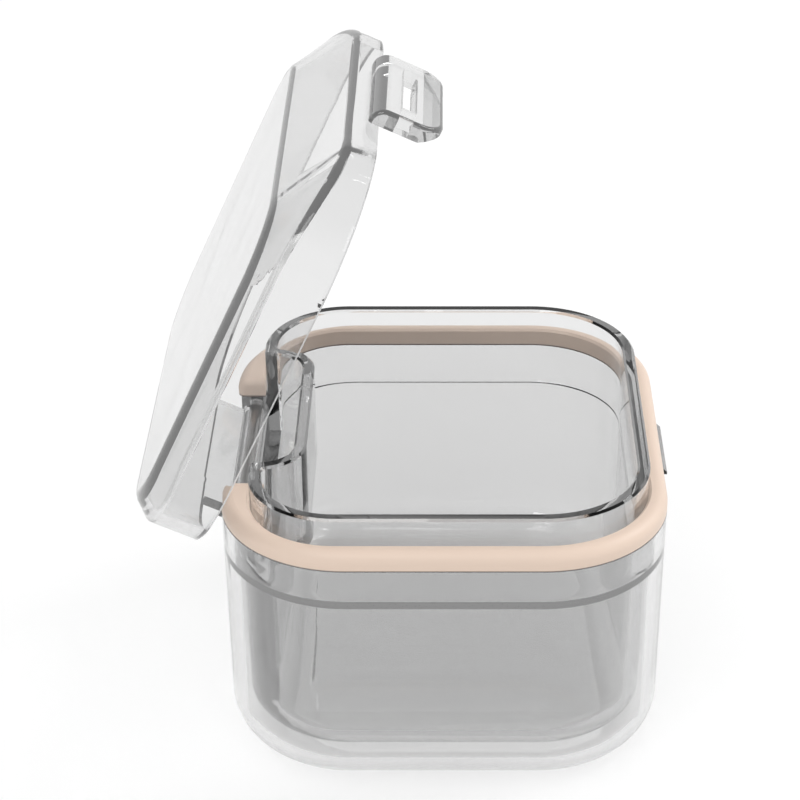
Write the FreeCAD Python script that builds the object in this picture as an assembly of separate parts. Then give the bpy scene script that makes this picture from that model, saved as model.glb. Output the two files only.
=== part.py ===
import FreeCAD, Part
import math
import os

V = FreeCAD.Vector

# Frame: origin at the centre of the flat base, +X to the latch, +Y to the back, +Z up.
# All sizes are in millimetres and all angles in degrees.

# Outer shell. Width, depth and corner hold at the shoulder, where the seal ring lies.
body_width = 88.0
body_depth = 96.0
body_corner = 25.2
shoulder_z = 52.4
wall_draft = 0.66
shell_wall = 2.8
shell_floor = 2.6
base_round = 10.0

# Inner cup. Its collar stands above the shoulder, inside the seal ring, and is drawn in
# on the hinge side.
collar_inset = 3.75
collar_hinge_inset = 5.9
collar_hinge_corner = 17.2
collar_height = 9.4
cup_wall = 2.5
cup_floor = 2.4
floor_gap = 2.8
cup_base_round = 9.5
rim_chamfer = 0.45

# Band around the cup, which plugs into a rebate at the top of the shell. Both taper at its foot.
band_height = 7.5
foot_height = 2.0
band_gap = 0.05
rebate_wall = 2.0

# Hinge pocket in the hinge side of the cup, with an ear on each side for the pin.
pocket_half = 22.8
pocket_reach = 8.3
pocket_depth = 9.9
pocket_web = 2.0
pocket_cavity_round = 9.5
pocket_lip_round = 1.2
pocket_heel_round = 1.6
ear_thick = 3.0
ear_inset = 0.5
ear_seat_gap = 0.1

# Seal ring, which lies on the shoulder and ends on both sides of the lid's lug.
ring_height = 3.9
ring_outer_round = 2.3
ring_inner_chamfer = 0.5
ring_foot_chamfer = 0.25
ring_end_round = 1.5
ring_end_gap = 0.3
ring_bore_gap = 0.03

# Lid, measured closed. A rise is a height above the lid's rim, and a run is the level
# distance from the wall to the plateau's edge. The lid is flush with the body front and back.
rim_gap = 0.2
lid_overhang = 0.7
lid_corner = 22.8
lid_wall = 2.4
side_rise = 10.2
latch_end_rise = 6.0
plateau_rise = 14.4
side_run = 4.6
hinge_run = 6.0
latch_run = 14.2
plateau_corner = 12.5
wall_top_round = 2.0
plateau_edge_round = 3.0
lid_rim_chamfer = 0.35
corner_curve_points = 9

# Hinge. The pin is a press fit in the cup's ears and runs free in the lid's barrel, which
# stands a little proud of the lid's hinge-side wall.
hinge_inset = 3.5
hinge_drop = 4.2
pin_radius = 1.2
pin_running_gap = 0.05
pin_end_inset = 0.3
barrel_radius = 2.75
barrel_side_gap = 0.3
barrel_proud = 0.5
lug_end_gap = 2.2
lug_tongue = 2.0

# Catch on the shell and latch on the lid.
catch_half = 9.2
catch_reach = 1.2
catch_drop = 1.75
catch_height = 1.65
catch_nose = 0.55
catch_sink = 0.5
latch_side_margin = 4.9
latch_thick = 3.4
latch_root_rise = 2.3
latch_hook_depth = 5.85
latch_top_round = 3.0
latch_tip_corner = 5.0
latch_edge_round = 0.9
latch_lead_depth = 1.8
latch_lead_height = 4.0
latch_gap = 0.1
hook_gap = 0.15
window_side_gap = 0.6
window_head_room = 1.1

# Angle by which the lid stands open in the rest pose.
rest_opening = 65.0

# Values that follow from the ones above.
body_half_x = body_width / 2
body_half_y = body_depth / 2
collar_low_x = collar_hinge_inset - body_half_x
collar_top_z = shoulder_z + collar_height
cup_under_z = shell_floor + floor_gap
cup_floor_z = cup_under_z + cup_floor
band_low_z = shoulder_z - band_height
foot_low_z = band_low_z - foot_height
pocket_inner_x = collar_low_x + pocket_reach
pocket_floor_z = shoulder_z - pocket_depth
web_low_z = pocket_floor_z - pocket_web
pocket_outer_half = pocket_half + cup_wall
ear_outer_half = pocket_half + ear_thick
ring_top_z = shoulder_z + ring_height
hinge_x = hinge_inset - body_half_x
hinge_z = shoulder_z - hinge_drop
lid_rim_z = ring_top_z + rim_gap
lid_low_x = hinge_x - barrel_radius + barrel_proud
lug_half = pocket_half - lug_end_gap
lid_high_x = body_half_x + lid_overhang
catch_low_z = shoulder_z - catch_drop
window_half = catch_half + window_side_gap
latch_half = window_half + latch_side_margin

# How far a cut runs past the faces that it opens, a length beyond the whole case, how near
# two places must be to count as one, and how far in from both sides a corner's arc has its
# middle, as a share of its radius.
clear = 1.0
far = 100.0
near = 0.01
arc_middle = 1 - math.sqrt(0.5)

# Level outlines: low x, high x, half depth, hinge-side corner and latch-side corner.
body_outline = (-body_half_x, body_half_x, body_half_y, body_corner, body_corner)
collar_outline = (collar_low_x, body_half_x - collar_inset, body_half_y - collar_inset,
                  collar_hinge_corner, body_corner - collar_inset)
pocket_round = pocket_cavity_round - cup_wall
pocket_outline = (-far, pocket_inner_x, pocket_half, pocket_round, pocket_round)
lid_outline = (lid_low_x, lid_high_x, body_half_y, lid_corner, lid_corner)


def inward(outline, inset):
    """Outline with its sides moved inwards by inset and its corners tightened to suit."""
    low_x, high_x, half_y, low_corner, high_corner = outline
    return low_x + inset, high_x - inset, half_y - inset, low_corner - inset, high_corner - inset


def loop(outline, z):
    """Closed wire of four lines and four quarter arcs, level at height z."""
    low_x, high_x, half_y, low_corner, high_corner = outline
    a, b = low_x + low_corner, high_x - high_corner
    c, d = half_y - low_corner, half_y - high_corner
    low_turn, high_turn = low_corner * arc_middle, high_corner * arc_middle
    low_turn_x, low_turn_y = low_x + low_turn, half_y - low_turn
    high_turn_x, high_turn_y = high_x - high_turn, half_y - high_turn
    return Part.Wire([
        Part.makeLine(V(a, -half_y, z), V(b, -half_y, z)),
        Part.Arc(V(b, -half_y, z), V(high_turn_x, -high_turn_y, z), V(high_x, -d, z)).toShape(),
        Part.makeLine(V(high_x, -d, z), V(high_x, d, z)),
        Part.Arc(V(high_x, d, z), V(high_turn_x, high_turn_y, z), V(b, half_y, z)).toShape(),
        Part.makeLine(V(b, half_y, z), V(a, half_y, z)),
        Part.Arc(V(a, half_y, z), V(low_turn_x, low_turn_y, z), V(low_x, c, z)).toShape(),
        Part.makeLine(V(low_x, c, z), V(low_x, -c, z)),
        Part.Arc(V(low_x, -c, z), V(low_turn_x, -low_turn_y, z), V(a, -half_y, z)).toShape(),
    ])


def upright_block(outline, low_z, high_z):
    return Part.Face(loop(outline, low_z)).extrude(V(0, 0, high_z - low_z))


def drafted_block(outline, stations):
    """Solid through the outline moved inwards at each (inset, z), leaning inwards towards the base."""
    loops = []
    for inset, z in stations:
        lean = (shoulder_z - z) * math.tan(math.radians(wall_draft))
        loops.append(loop(inward(outline, inset + lean), z))
    return Part.makeLoft(loops, True, True)


def tub(outline, stations, edge_round):
    """Drafted block with a rounded bottom edge."""
    block = drafted_block(outline, stations)
    return block.makeFillet(edge_round, level_edges(block, stations[0][1]))


def box(low_x, high_x, low_y, high_y, low_z, high_z):
    return Part.makeBox(high_x - low_x, high_y - low_y, high_z - low_z, V(low_x, low_y, low_z))


def level_edges(shape, z):
    """Edges that lie wholly at height z."""
    found = []
    for edge in shape.Edges:
        bounds = edge.BoundBox
        if abs(bounds.ZMin - z) < near and abs(bounds.ZMax - z) < near:
            found.append(edge)
    return found


def upright_edges(shape, about_x, about_y):
    """Edges that reach the collar's top about upright, near about_x and about_y to either side."""
    found = []
    for edge in shape.Edges:
        bounds = edge.BoundBox
        upright = bounds.ZLength > bounds.XLength + bounds.YLength + clear
        off_x, off_y = bounds.Center.x - about_x, abs(bounds.Center.y) - about_y
        placed = math.hypot(off_x, off_y) < clear / 2
        if upright and placed and abs(bounds.ZMax - collar_top_z) < near:
            found.append(edge)
    return found


def edges_between(shape, low_z, high_z):
    """Edges that run round the shape between two heights."""
    found = []
    for edge in shape.Edges:
        bounds = edge.BoundBox
        if low_z < bounds.ZMin and bounds.ZMax < high_z:
            found.append(edge)
    return found


def y_cylinder(radius, half_length, x, z):
    return Part.makeCylinder(radius, half_length * 2, V(x, -half_length, z), V(0, 1, 0))


def profile_along_y(points, half_y):
    """Solid of an XZ outline, given as (x, z) corners, reaching half_y to each side."""
    corners = [V(x, -half_y, z) for x, z in points]
    wire = Part.makePolygon(corners + corners[:1])
    return Part.Face(wire).extrude(V(0, half_y * 2, 0))


def opened(shape):
    """Copy of a shape of the closed lid, turned to the rest pose."""
    turned = shape.copy()
    turned.rotate(V(hinge_x, 0, hinge_z), V(0, -1, 0), rest_opening)
    return turned


def make_catch():
    """Wedge on the latch side of the shell: a ramp above, a flat hook face below."""
    wall_x = body_half_x - catch_sink
    nose_x = body_half_x + catch_reach
    top_z = catch_low_z + catch_height
    outline = [(wall_x, catch_low_z), (nose_x, catch_low_z), (nose_x, catch_low_z + catch_nose),
               (body_half_x, top_z), (wall_x, top_z)]
    return profile_along_y(outline, catch_half)


def make_outer_shell():
    """Tub with a rebate at its mouth and a notch for the hinge pocket's ears."""
    outside = tub(body_outline, [(0, 0), (0, shoulder_z)], base_round)
    hollow = tub(body_outline, [(shell_wall, shell_floor), (shell_wall, foot_low_z),
                                (rebate_wall, band_low_z), (rebate_wall, shoulder_z + clear)],
                 base_round - shell_wall)
    notch_half = ear_outer_half + ear_seat_gap
    notch = box(-body_half_x - clear, pocket_inner_x, -notch_half, notch_half,
                web_low_z, shoulder_z + clear)
    return outside.cut(hollow).cut(notch).fuse(make_catch()).removeSplitter()


def make_inner_cup():
    """Cup with collar and band, and a wall that jogs inwards around the hinge pocket."""
    lower = tub(body_outline, [(collar_inset, cup_under_z), (collar_inset, shoulder_z)], cup_base_round)
    band = drafted_block(body_outline, [(shell_wall + band_gap, foot_low_z),
                                        (rebate_wall + band_gap, band_low_z),
                                        (rebate_wall + band_gap, shoulder_z)])
    collar = drafted_block(collar_outline, [(0, shoulder_z), (0, collar_top_z)])
    ears = box(ear_inset - body_half_x, pocket_inner_x, -ear_outer_half, ear_outer_half,
               web_low_z, shoulder_z)
    cavity = tub(collar_outline, [(cup_wall, cup_floor_z), (cup_wall, collar_top_z + clear)],
                 cup_base_round - cup_wall)
    jog = upright_block(inward(pocket_outline, -cup_wall), 0, far)
    pocket = upright_block(pocket_outline, pocket_floor_z, far)
    channel = upright_block(pocket_outline, 0, web_low_z)
    cup = lower.fuse([band, collar, ears]).cut(cavity.cut(jog)).cut(pocket).cut(channel)
    cup = cup.cut(y_cylinder(pin_radius, far, hinge_x, hinge_z)).removeSplitter()
    cup = cup.makeFillet(pocket_lip_round, upright_edges(cup, collar_low_x, pocket_half))
    cup = cup.makeFillet(pocket_heel_round, upright_edges(cup, collar_low_x + cup_wall, pocket_outer_half))
    return cup.makeChamfer(rim_chamfer, level_edges(cup, collar_top_z))


def make_seal_ring():
    """Soft ring with a domed top, cut open for the lid's lug, with rounded ends."""
    ring = upright_block(body_outline, shoulder_z, ring_top_z)
    ring = ring.makeFillet(ring_outer_round, level_edges(ring, ring_top_z))
    ring = ring.makeChamfer(ring_foot_chamfer, level_edges(ring, shoulder_z))
    growth = ring_bore_gap + ring_height * math.tan(math.radians(wall_draft))
    bore = upright_block(inward(collar_outline, -growth), shoulder_z - clear, ring_top_z + clear)
    ring = ring.cut(bore)
    inner_edges = [edge for edge in level_edges(ring, ring_top_z) if edge.distToShape(bore)[0] < near]
    ring = ring.makeChamfer(ring_inner_chamfer, inner_edges)
    half_gap = lug_half + ring_end_gap
    gap = box(-body_half_x - clear, 0, -half_gap, half_gap, shoulder_z - clear, ring_top_z + clear)
    ring = ring.cut(gap)
    end_edges = [edge for edge in level_edges(ring, ring_top_z) if edge.distToShape(gap)[0] < near
                 and edge.BoundBox.YLength < near]
    return ring.makeFillet(ring_end_round, end_edges)


def wall_top_corner(centre_x, centre_y, corner, start, side_z, end_z):
    """Edge round a latch-end corner of the lid, falling from side_z to end_z as it turns to the end."""
    points = []
    side = -1 if start == "side" else 1
    for step in range(corner_curve_points):
        part = step / (corner_curve_points - 1)
        turn = math.radians(90 * (part if start == "side" else 1 - part))
        height = side_z + (end_z - side_z) * math.sin(turn) ** 2
        points.append(V(centre_x + corner * math.sin(turn),
                        side * (centre_y + corner * math.cos(turn)), height))
    curve = Part.BSplineCurve()
    tangent_in = V(1, 0, 0) if start == "side" else V(0, 1, 0)
    tangent_out = V(0, 1, 0) if start == "side" else V(-1, 0, 0)
    curve.interpolate(Points=points, InitialTangent=tangent_in, FinalTangent=tangent_out)
    return curve.toShape()


def lid_form(inset, base_z):
    """Outer form of the closed lid, moved inwards by inset, from base_z upwards, edges still sharp."""
    facets = {
        "side": math.atan2(plateau_rise - side_rise, side_run),
        "hinge": math.atan2(plateau_rise - side_rise, hinge_run),
        "latch": math.atan2(plateau_rise - latch_end_rise, latch_run),
    }
    edge_in = {name: inset * math.tan(angle / 2) for name, angle in facets.items()}
    wall_down = {name: inset * math.tan(math.pi / 4 - angle / 2) for name, angle in facets.items()}
    outline = inward(lid_outline, inset)
    low_x, high_x, half_y, corner = outline[:4]
    top_z = lid_rim_z + side_rise - wall_down["side"]
    end_z = lid_rim_z + latch_end_rise - wall_down["latch"]
    a, b, c = low_x + corner, high_x - corner, half_y - corner
    turn = corner * arc_middle
    turn_x, turn_y = low_x + turn, half_y - turn
    wall_top = Part.Wire([
        Part.makeLine(V(a, -half_y, top_z), V(b, -half_y, top_z)),
        wall_top_corner(b, c, corner, "side", top_z, end_z),
        Part.makeLine(V(high_x, -c, end_z), V(high_x, c, end_z)),
        wall_top_corner(b, c, corner, "end", top_z, end_z),
        Part.makeLine(V(b, half_y, top_z), V(a, half_y, top_z)),
        Part.Arc(V(a, half_y, top_z), V(turn_x, turn_y, top_z), V(low_x, c, top_z)).toShape(),
        Part.makeLine(V(low_x, c, top_z), V(low_x, -c, top_z)),
        Part.Arc(V(low_x, -c, top_z), V(turn_x, -turn_y, top_z), V(a, -half_y, top_z)).toShape(),
    ])
    plateau_round = plateau_corner - edge_in["side"]
    plateau = (lid_low_x + hinge_run + edge_in["hinge"], lid_high_x - latch_run - edge_in["latch"],
               body_half_y - side_run - edge_in["side"], plateau_round, plateau_round)
    return Part.makeLoft([loop(outline, base_z), wall_top, loop(plateau, lid_rim_z + plateau_rise - inset)],
                         True, True)


def rounded_lid_form():
    """Outer form of the closed lid with its edges rounded."""
    form = lid_form(0, lid_rim_z)
    form = form.makeFillet(plateau_edge_round, level_edges(form, lid_rim_z + plateau_rise))
    wall_tops = edges_between(form, lid_rim_z + latch_end_rise - clear, lid_rim_z + side_rise + clear)
    form = form.makeFillet(wall_top_round, wall_tops)
    return form.makeChamfer(lid_rim_chamfer, level_edges(form, lid_rim_z))


def make_lug():
    """Plate that hangs from the rim in line with the hinge-side wall, held by a tongue inside the wall."""
    inner_x = lid_low_x + lid_wall
    tongue_low_x, tongue_high_x = lid_low_x + lid_rim_chamfer, inner_x - lid_rim_chamfer
    tongue_z = lid_rim_z + lug_tongue
    outline = [(lid_low_x, hinge_z), (inner_x, hinge_z), (inner_x, lid_rim_z), (tongue_high_x, lid_rim_z),
               (tongue_high_x, tongue_z), (tongue_low_x, tongue_z), (tongue_low_x, lid_rim_z),
               (lid_low_x, lid_rim_z)]
    return profile_along_y(outline, lug_half)


def make_lid():
    """Hollow lid with a lug that hangs from its hinge side and ends in the barrel."""
    lid = rounded_lid_form().cut(lid_form(lid_wall, lid_rim_z - clear))
    barrel = y_cylinder(barrel_radius, pocket_half - barrel_side_gap, hinge_x, hinge_z)
    bore = y_cylinder(pin_radius + pin_running_gap, far, hinge_x, hinge_z)
    return opened(lid.fuse([make_lug(), barrel]).cut(bore).removeSplitter())


def make_latch():
    """Plate that hangs outside the lid's wall, with a window for the catch and a lead-in at its tip."""
    inner_x = lid_high_x + latch_gap
    outer_x = inner_x + latch_thick
    root_z = lid_rim_z + latch_root_rise
    tip_z = catch_low_z - latch_hook_depth
    plate = box(inner_x, outer_x, -latch_half, latch_half, tip_z, root_z)
    tip_corners = [edge for edge in level_edges(plate, tip_z) if edge.BoundBox.XLength > clear]
    plate = plate.makeFillet(latch_tip_corner, tip_corners)
    top_edges = [edge for edge in level_edges(plate, root_z) if edge.BoundBox.XMin > inner_x + clear]
    plate = plate.makeFillet(latch_top_round, top_edges)
    bend_z = root_z - latch_top_round
    face_edges = []
    for edge in plate.Edges:
        bounds = edge.BoundBox
        bend_line = bounds.ZLength < near and bounds.ZMax > bend_z - near
        if bounds.XMin > outer_x - near and not bend_line:
            face_edges.append(edge)
    plate = plate.makeFillet(latch_edge_round, face_edges)
    window = box(inner_x - clear, outer_x + clear, -window_half, window_half,
                 catch_low_z - hook_gap, catch_low_z + catch_height + window_head_room)
    lead_in = profile_along_y([(inner_x - latch_lead_depth, tip_z + latch_lead_height * 2),
                               (inner_x - latch_lead_depth, tip_z - latch_lead_height),
                               (inner_x + latch_lead_depth * 2, tip_z - latch_lead_height)], far)
    return opened(plate.cut(window).cut(lead_in))


def make_hinge_pin():
    """Plain pin from ear to ear."""
    return y_cylinder(pin_radius, ear_outer_half - pin_end_inset, hinge_x, hinge_z)


pieces = {
    "outer_shell": make_outer_shell,
    "inner_cup": make_inner_cup,
    "seal_ring": make_seal_ring,
    "lid": make_lid,
    "latch": make_latch,
    "hinge_pin": make_hinge_pin,
}

os.makedirs("parts", exist_ok=True)
for name, make in pieces.items():
    shape = make()
    print(name, shape.ShapeType, len(shape.Solids), shape.isValid(), round(shape.Volume, 1))
    shape.exportStep("parts/" + name + ".step")
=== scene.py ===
import math

import bmesh
import bpy
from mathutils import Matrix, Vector


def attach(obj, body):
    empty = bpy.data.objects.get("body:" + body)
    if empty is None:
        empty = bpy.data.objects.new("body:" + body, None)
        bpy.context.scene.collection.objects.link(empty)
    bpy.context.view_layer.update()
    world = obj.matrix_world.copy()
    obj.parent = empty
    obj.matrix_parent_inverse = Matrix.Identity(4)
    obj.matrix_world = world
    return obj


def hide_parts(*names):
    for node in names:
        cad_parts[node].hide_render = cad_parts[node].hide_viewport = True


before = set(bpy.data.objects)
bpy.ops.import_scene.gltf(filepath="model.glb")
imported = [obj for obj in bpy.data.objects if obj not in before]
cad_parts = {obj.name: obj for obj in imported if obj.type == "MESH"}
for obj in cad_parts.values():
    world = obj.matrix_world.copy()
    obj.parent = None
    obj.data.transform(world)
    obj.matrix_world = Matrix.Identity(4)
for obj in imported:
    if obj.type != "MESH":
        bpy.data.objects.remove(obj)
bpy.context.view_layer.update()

# Lengths are in metres, angles in degrees, colours in linear light.
# The camera stands where the photograph was taken from, in front of the case and above it.
PHOTO_SIZE = 800
SENSOR = 0.036
FOCAL_PIXELS = 2381.75
AXIS_PIXEL_X = 447
CAMERA_PLACE = (0.00052, -0.42357, 0.30077)
CAMERA_PITCH = 29.33

# Clear moulded plastic.
BODY_TINT = 0.86
LID_TINT = 0.82
PLASTIC_IOR = 1.5
PLASTIC_ROUGHNESS = 0.015
BODY_ABSORBS = 12
LID_ABSORBS = 12
# Painted glow: rays that have met many surfaces inside the plastic glow white, standing in for light
# caught in its walls; on the body it is stronger low down, near the floor.
TRAPPED_REFLECTIONS = 3
TRAPPED_CROSSINGS = 10
BODY_PAINTED_GLOW_LOW = 0.36
BODY_PAINTED_GLOW_HIGH = 0.0
LID_PAINTED_GLOW = 0.25
PAINTED_GLOW_LOW_Z = 0.040
PAINTED_GLOW_HIGH_Z = 0.043
WAVE_SCALE = 55
WAVE_HEIGHT = 0.00002

# Seal ring: peach, with a painted shade line along its foot, where it meets the shoulder of the cup.
SILICONE_COLOUR = (0.80, 0.64, 0.53, 1)
PAINTED_SEAM_SHADE = (0.10, 0.05, 0.03, 1)
SEAM_SHADE_LOW_Z = 0.0525
SEAM_SHADE_HIGH_Z = 0.0528

# The cup below its hinge pocket, in millimetres: its sides lean inwards towards the base.
MM = 0.001
CUP_DRAFT = 0.66
SHOULDER_Z = 52.4
POCKET_LOW_Z = 40.5
CUP_UNDER_Z = 5.4
CUP_FLOOR_Z = 7.8
CUP_OUTER_X = -40.25
CUP_INNER_X = -35.6
CUP_OUTER_ROUND = 9.5
CUP_INNER_ROUND = 7.0
COLUMN_X = -27.3
CHANNEL_X = -29.8
CHANNEL_HALF = 22.8
HEEL_HALF = 26.9
OVERLAP = 0.05
WELD = 0.000001
FLAT_ANGLE = 0.0005
ROUND_STEPS = 24
SHARP_ANGLE = 25

# Lights and floor.
BACKDROP = 1.0
SOFT_LIGHT = 0.7
CEILING = 0.25
CEILING_LOW = 0.25
CEILING_HIGH = 0.7
FLOOR_HALF = 3.0
FLOOR_COLOUR = (0.8, 0.8, 0.8)
FLOOR_GLOW = 0.56
SHADOW_SHARE = 0.45


def new_material(name):
    """Empty node material and its output node."""
    material = bpy.data.materials.new(name)
    material.use_nodes = True
    material.node_tree.nodes.clear()
    output = material.node_tree.nodes.new("ShaderNodeOutputMaterial")
    return material, material.node_tree, output


def add_node(tree, kind, **values):
    """Node of a kind, with its unlinked sockets set by name."""
    node = tree.nodes.new(kind)
    for name, value in values.items():
        node.inputs[name.replace("_", " ")].default_value = value
    return node


def ranged_height(tree, place, low, high, low_value, high_value, space="Object"):
    """Value that goes from low_value at height low to high_value at height high."""
    parts = add_node(tree, "ShaderNodeSeparateXYZ")
    tree.links.new(place.outputs[space], parts.inputs[0])
    ranged = add_node(tree, "ShaderNodeMapRange", From_Min=low, From_Max=high,
                      To_Min=low_value, To_Max=high_value)
    tree.links.new(parts.outputs["Z"], ranged.inputs["Value"])
    return ranged.outputs[0]


def bump_from(tree, height, distance, strength=1.0):
    bump = add_node(tree, "ShaderNodeBump", Strength=strength, Distance=distance)
    tree.links.new(height, bump.inputs["Height"])
    return bump.outputs["Normal"]


def clear_plastic(name, tint, absorbs, glow_low, glow_high):
    """Clear plastic. Rays deep inside its walls get a painted glow, standing in for light caught
    there, more so near the white floor.
    """
    material, tree, output = new_material(name)
    place = add_node(tree, "ShaderNodeTexCoord")
    waves = add_node(tree, "ShaderNodeTexNoise", Scale=WAVE_SCALE, Detail=1.0)
    tree.links.new(place.outputs["Object"], waves.inputs["Vector"])
    glass = add_node(tree, "ShaderNodeBsdfPrincipled", Base_Color=(tint, tint, tint, 1),
                     Roughness=PLASTIC_ROUGHNESS, IOR=PLASTIC_IOR, Transmission_Weight=1.0)
    tree.links.new(bump_from(tree, waves.outputs["Fac"], WAVE_HEIGHT), glass.inputs["Normal"])
    see_through = add_node(tree, "ShaderNodeBsdfTransparent", Color=(0.88, 0.88, 0.88, 1))
    clear = mixed(tree, any_of(tree, ("Is Shadow Ray",)), glass, see_through)
    # Painted glow: white emission on rays deep inside the plastic, its strength set by height.
    painted_glow = add_node(tree, "ShaderNodeEmission", Color=(1, 1, 1, 1))
    by_height = ranged_height(tree, place, PAINTED_GLOW_LOW_Z, PAINTED_GLOW_HIGH_Z, glow_low, glow_high)
    tree.links.new(by_height, painted_glow.inputs["Strength"])
    deep = maximum(tree, [beyond(tree, "Glossy Depth", TRAPPED_REFLECTIONS),
                          beyond(tree, "Ray Depth", TRAPPED_CROSSINGS)])
    tree.links.new(mixed(tree, deep, clear, painted_glow).outputs[0], output.inputs["Surface"])
    material.cycles.emission_sampling = "NONE"
    haze = add_node(tree, "ShaderNodeVolumeAbsorption", Color=(0, 0, 0, 1), Density=absorbs)
    tree.links.new(haze.outputs[0], output.inputs["Volume"])
    return material


def seal_silicone():
    """Soft peach silicone with a satin sheen."""
    material, tree, output = new_material("seal_silicone_finish")
    place = add_node(tree, "ShaderNodeTexCoord")
    grain = add_node(tree, "ShaderNodeTexNoise", Scale=2500, Detail=3.0)
    tree.links.new(place.outputs["Object"], grain.inputs["Vector"])
    body = add_node(tree, "ShaderNodeBsdfPrincipled", Roughness=0.42, IOR=1.41)
    # Painted shade: dark brown along the ring's lowest edge, standing in for the shadow where it sits
    # on the shoulder.
    colour = add_node(tree, "ShaderNodeMixRGB", Color1=PAINTED_SEAM_SHADE, Color2=SILICONE_COLOUR)
    above_seam_shade = ranged_height(tree, place, SEAM_SHADE_LOW_Z, SEAM_SHADE_HIGH_Z, 0, 1)
    tree.links.new(above_seam_shade, colour.inputs["Fac"])
    tree.links.new(colour.outputs[0], body.inputs["Base Color"])
    tree.links.new(bump_from(tree, grain.outputs["Fac"], 0.00002, 0.3), body.inputs["Normal"])
    tree.links.new(body.outputs[0], output.inputs["Surface"])
    return material


def pin_steel():
    """Drawn steel wire."""
    material, tree, output = new_material("pin_steel_finish")
    body = add_node(tree, "ShaderNodeBsdfPrincipled", Base_Color=(0.5, 0.49, 0.48, 1),
                    Metallic=1.0, Roughness=0.3)
    tree.links.new(body.outputs[0], output.inputs["Surface"])
    return material


def maximum(tree, values):
    total = values[0]
    for value in values[1:]:
        larger = add_node(tree, "ShaderNodeMath")
        larger.operation = "MAXIMUM"
        tree.links.new(total, larger.inputs[0])
        tree.links.new(value, larger.inputs[1])
        total = larger.outputs[0]
    return total


def any_of(tree, names):
    """1 for rays of any of the kinds named."""
    path = add_node(tree, "ShaderNodeLightPath")
    return maximum(tree, [path.outputs[name] for name in names])


def beyond(tree, name, limit):
    """1 for rays that have met more surfaces than limit."""
    path = add_node(tree, "ShaderNodeLightPath")
    test = add_node(tree, "ShaderNodeMath")
    test.operation = "GREATER_THAN"
    test.inputs[1].default_value = limit
    tree.links.new(path.outputs[name], test.inputs[0])
    return test.outputs[0]


def mixed(tree, share, first, second):
    mix = add_node(tree, "ShaderNodeMixShader")
    tree.links.new(share, mix.inputs[0])
    tree.links.new(first.outputs[0], mix.inputs[1])
    tree.links.new(second.outputs[0], mix.inputs[2])
    return mix


def make_world():
    world = bpy.data.worlds.new("studio")
    bpy.context.scene.world = world
    world.use_nodes = True
    tree = world.node_tree
    tree.nodes.clear()
    output = tree.nodes.new("ShaderNodeOutputWorld")
    soft = add_node(tree, "ShaderNodeBackground", Color=(1, 1, 1, 1), Strength=SOFT_LIGHT)
    shown = add_node(tree, "ShaderNodeBackground", Color=(1, 1, 1, 1), Strength=BACKDROP)
    room = add_node(tree, "ShaderNodeBackground", Color=(1, 1, 1, 1))
    direction = add_node(tree, "ShaderNodeTexCoord")
    ceiling = ranged_height(tree, direction, CEILING_LOW, CEILING_HIGH, BACKDROP, CEILING, "Generated")
    tree.links.new(ceiling, room.inputs["Strength"])
    through = mixed(tree, any_of(tree, ("Is Glossy Ray", "Is Transmission Ray")), soft, room)
    every = mixed(tree, any_of(tree, ("Is Camera Ray",)), through, shown)
    tree.links.new(every.outputs[0], output.inputs["Surface"])


def make_floor():
    """Pale floor that is white to the eye and keeps the shadow of the case."""
    half = FLOOR_HALF
    mesh = bpy.data.meshes.new("floor")
    mesh.from_pydata([(-half, -half, 0), (half, -half, 0), (half, half, 0), (-half, half, 0)],
                     [], [(0, 1, 2, 3)])
    floor = bpy.data.objects.new("floor", mesh)
    bpy.context.scene.collection.objects.link(floor)
    material, tree, output = new_material("floor_white")
    matt = add_node(tree, "ShaderNodeBsdfDiffuse", Color=(*FLOOR_COLOUR, 1))
    glow = add_node(tree, "ShaderNodeEmission", Color=(1, 1, 1, 1), Strength=FLOOR_GLOW)
    share = add_node(tree, "ShaderNodeBsdfDiffuse", Color=(SHADOW_SHARE,) * 3 + (1,))
    lit = add_node(tree, "ShaderNodeAddShader")
    tree.links.new(glow.outputs[0], lit.inputs[0])
    tree.links.new(share.outputs[0], lit.inputs[1])
    direct = any_of(tree, ("Is Camera Ray", "Is Glossy Ray", "Is Transmission Ray"))
    tree.links.new(mixed(tree, direct, matt, lit).outputs[0], output.inputs["Surface"])
    mesh.materials.append(material)


def softbox(name, place, aim, size, power):
    """Square lamp at place that faces aim."""
    lamp = bpy.data.lights.new(name, "AREA")
    lamp.shape = "RECTANGLE"
    lamp.size, lamp.size_y = size
    lamp.energy = power
    box = bpy.data.objects.new(name, lamp)
    box.location = place
    box.rotation_euler = (Vector(aim) - Vector(place)).to_track_quat("-Z", "Y").to_euler()
    bpy.context.scene.collection.objects.link(box)


def cup_side(shoulder_x, floor_z, radius, top_z, end_x=math.inf):
    """Section of the cup's hinge side and its rounded foot, as (x, z) from the top down to end_x."""
    lean = math.radians(CUP_DRAFT)
    middle_z = floor_z + radius
    middle_x = shoulder_x + (SHOULDER_Z - middle_z) * math.tan(lean) + radius / math.cos(lean)
    first = math.pi + lean
    last = 2 * math.pi - math.acos(min(end_x - middle_x, 0) / radius)
    points = [(shoulder_x + (SHOULDER_Z - top_z) * math.tan(lean), top_z)]
    for step in range(ROUND_STEPS + 1):
        angle = first + (last - first) * step / ROUND_STEPS
        points.append((middle_x + radius * math.cos(angle), middle_z + radius * math.sin(angle)))
    return points


def prism(section, half_y):
    """Object of an XZ section, given as (x, z) in millimetres, reaching half_y to each side."""
    count = len(section)
    corners = [(x * MM, side * half_y * MM, z * MM) for side in (-1, 1) for x, z in section]
    sides = [(i, (i + 1) % count, count + (i + 1) % count, count + i) for i in range(count)]
    mesh = bpy.data.meshes.new("prism")
    mesh.from_pydata(corners, [], [tuple(range(count)), tuple(range(count, 2 * count))] + sides)
    tidied(mesh)
    block = bpy.data.objects.new("prism", mesh)
    bpy.context.scene.collection.objects.link(block)
    return block


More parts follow.
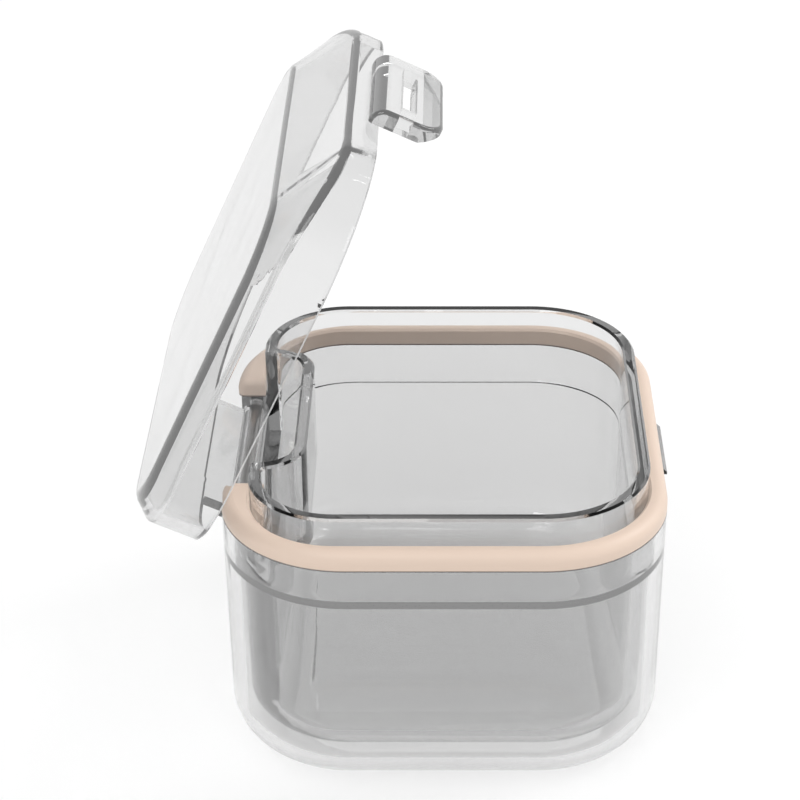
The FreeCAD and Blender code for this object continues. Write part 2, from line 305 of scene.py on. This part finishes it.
def tidied(mesh):
    """Weld a mesh's corners and turn its faces outwards."""
    work = bmesh.new()
    work.from_mesh(mesh)
    bmesh.ops.remove_doubles(work, verts=work.verts, dist=WELD)
    bmesh.ops.dissolve_degenerate(work, edges=work.edges, dist=WELD)
    bmesh.ops.dissolve_limit(work, angle_limit=FLAT_ANGLE, verts=work.verts, edges=work.edges)
    bmesh.ops.recalc_face_normals(work, faces=work.faces)
    work.to_mesh(mesh)
    work.free()


def combine(piece, operation, tool):
    """Cut a tool from a piece or join it on. The tool is used up."""
    step = piece.modifiers.new("step", "BOOLEAN")
    step.operation = operation
    step.solver = "MANIFOLD"
    step.object = tool
    graph = bpy.context.evaluated_depsgraph_get()
    piece.data = bpy.data.meshes.new_from_object(piece.evaluated_get(graph))
    piece.modifiers.clear()
    tidied(piece.data)
    bpy.data.objects.remove(tool)


def make_full_cup(finish):
    """The cup with its cavity carried on under the hinge pocket, where the solid has a column."""
    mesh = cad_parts["inner_cup"].data.copy()
    if "custom_normal" in mesh.attributes:
        mesh.attributes.remove(mesh.attributes["custom_normal"])
    tidied(mesh)
    cup = bpy.data.objects.new("cup_full_cavity", mesh)
    bpy.context.scene.collection.objects.link(cup)
    column = cup_side(CUP_INNER_X, CUP_FLOOR_Z, CUP_INNER_ROUND, POCKET_LOW_Z)
    column += [(COLUMN_X + OVERLAP, CUP_FLOOR_Z), (COLUMN_X + OVERLAP, POCKET_LOW_Z)]
    combine(cup, "DIFFERENCE", prism(column, HEEL_HALF))
    wall = cup_side(CUP_OUTER_X, CUP_UNDER_Z, CUP_OUTER_ROUND, POCKET_LOW_Z + OVERLAP)
    wall.append((CHANNEL_X + OVERLAP, CUP_UNDER_Z))
    wall += cup_side(CUP_INNER_X, CUP_FLOOR_Z, CUP_INNER_ROUND, POCKET_LOW_Z + OVERLAP,
                     CHANNEL_X + OVERLAP)[::-1]
    combine(cup, "UNION", prism(wall, CHANNEL_HALF + OVERLAP))
    cup.data.materials.clear()
    cup.data.materials.append(finish)
    for face in cup.data.polygons:
        face.use_smooth = True
        face.material_index = 0
    cup.data.set_sharp_from_angle(angle=math.radians(SHARP_ANGLE))
    level = cup.modifiers.new("level", "WEIGHTED_NORMAL")
    level.keep_sharp = True
    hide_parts("inner_cup")
    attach(cup, "case")


def make_camera():
    data = bpy.data.cameras.new("camera")
    data.sensor_width = SENSOR * 1000
    data.lens = data.sensor_width * FOCAL_PIXELS / PHOTO_SIZE
    data.shift_x = (PHOTO_SIZE / 2 - AXIS_PIXEL_X) / PHOTO_SIZE
    camera = bpy.data.objects.new("camera", data)
    camera.location = CAMERA_PLACE
    camera.rotation_euler = (math.radians(90 - CAMERA_PITCH), 0, 0)
    bpy.context.scene.collection.objects.link(camera)
    bpy.context.scene.camera = camera


body_plastic = clear_plastic("body_plastic", BODY_TINT, BODY_ABSORBS,
                             BODY_PAINTED_GLOW_LOW, BODY_PAINTED_GLOW_HIGH)
lid_plastic = clear_plastic("lid_plastic", LID_TINT, LID_ABSORBS, LID_PAINTED_GLOW, LID_PAINTED_GLOW)
finishes = {
    "outer_shell": body_plastic,
    "inner_cup": body_plastic,
    "seal_ring": seal_silicone(),
    "lid": lid_plastic,
    "latch": lid_plastic,
    "hinge_pin": pin_steel(),
}
for name, finish in finishes.items():
    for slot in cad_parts[name].material_slots:
        slot.material = finish
make_full_cup(body_plastic)

make_world()
make_floor()
softbox("key", (-0.5, -1.1, 1.6), (0, 0, 0.06), (0.9, 0.9), 9.5)
softbox("fill", (1.3, 0.4, 1.2), (0, 0, 0.06), (0.6, 0.9), 11)
make_camera()

bpy.context.scene.view_settings.view_transform = "Standard"
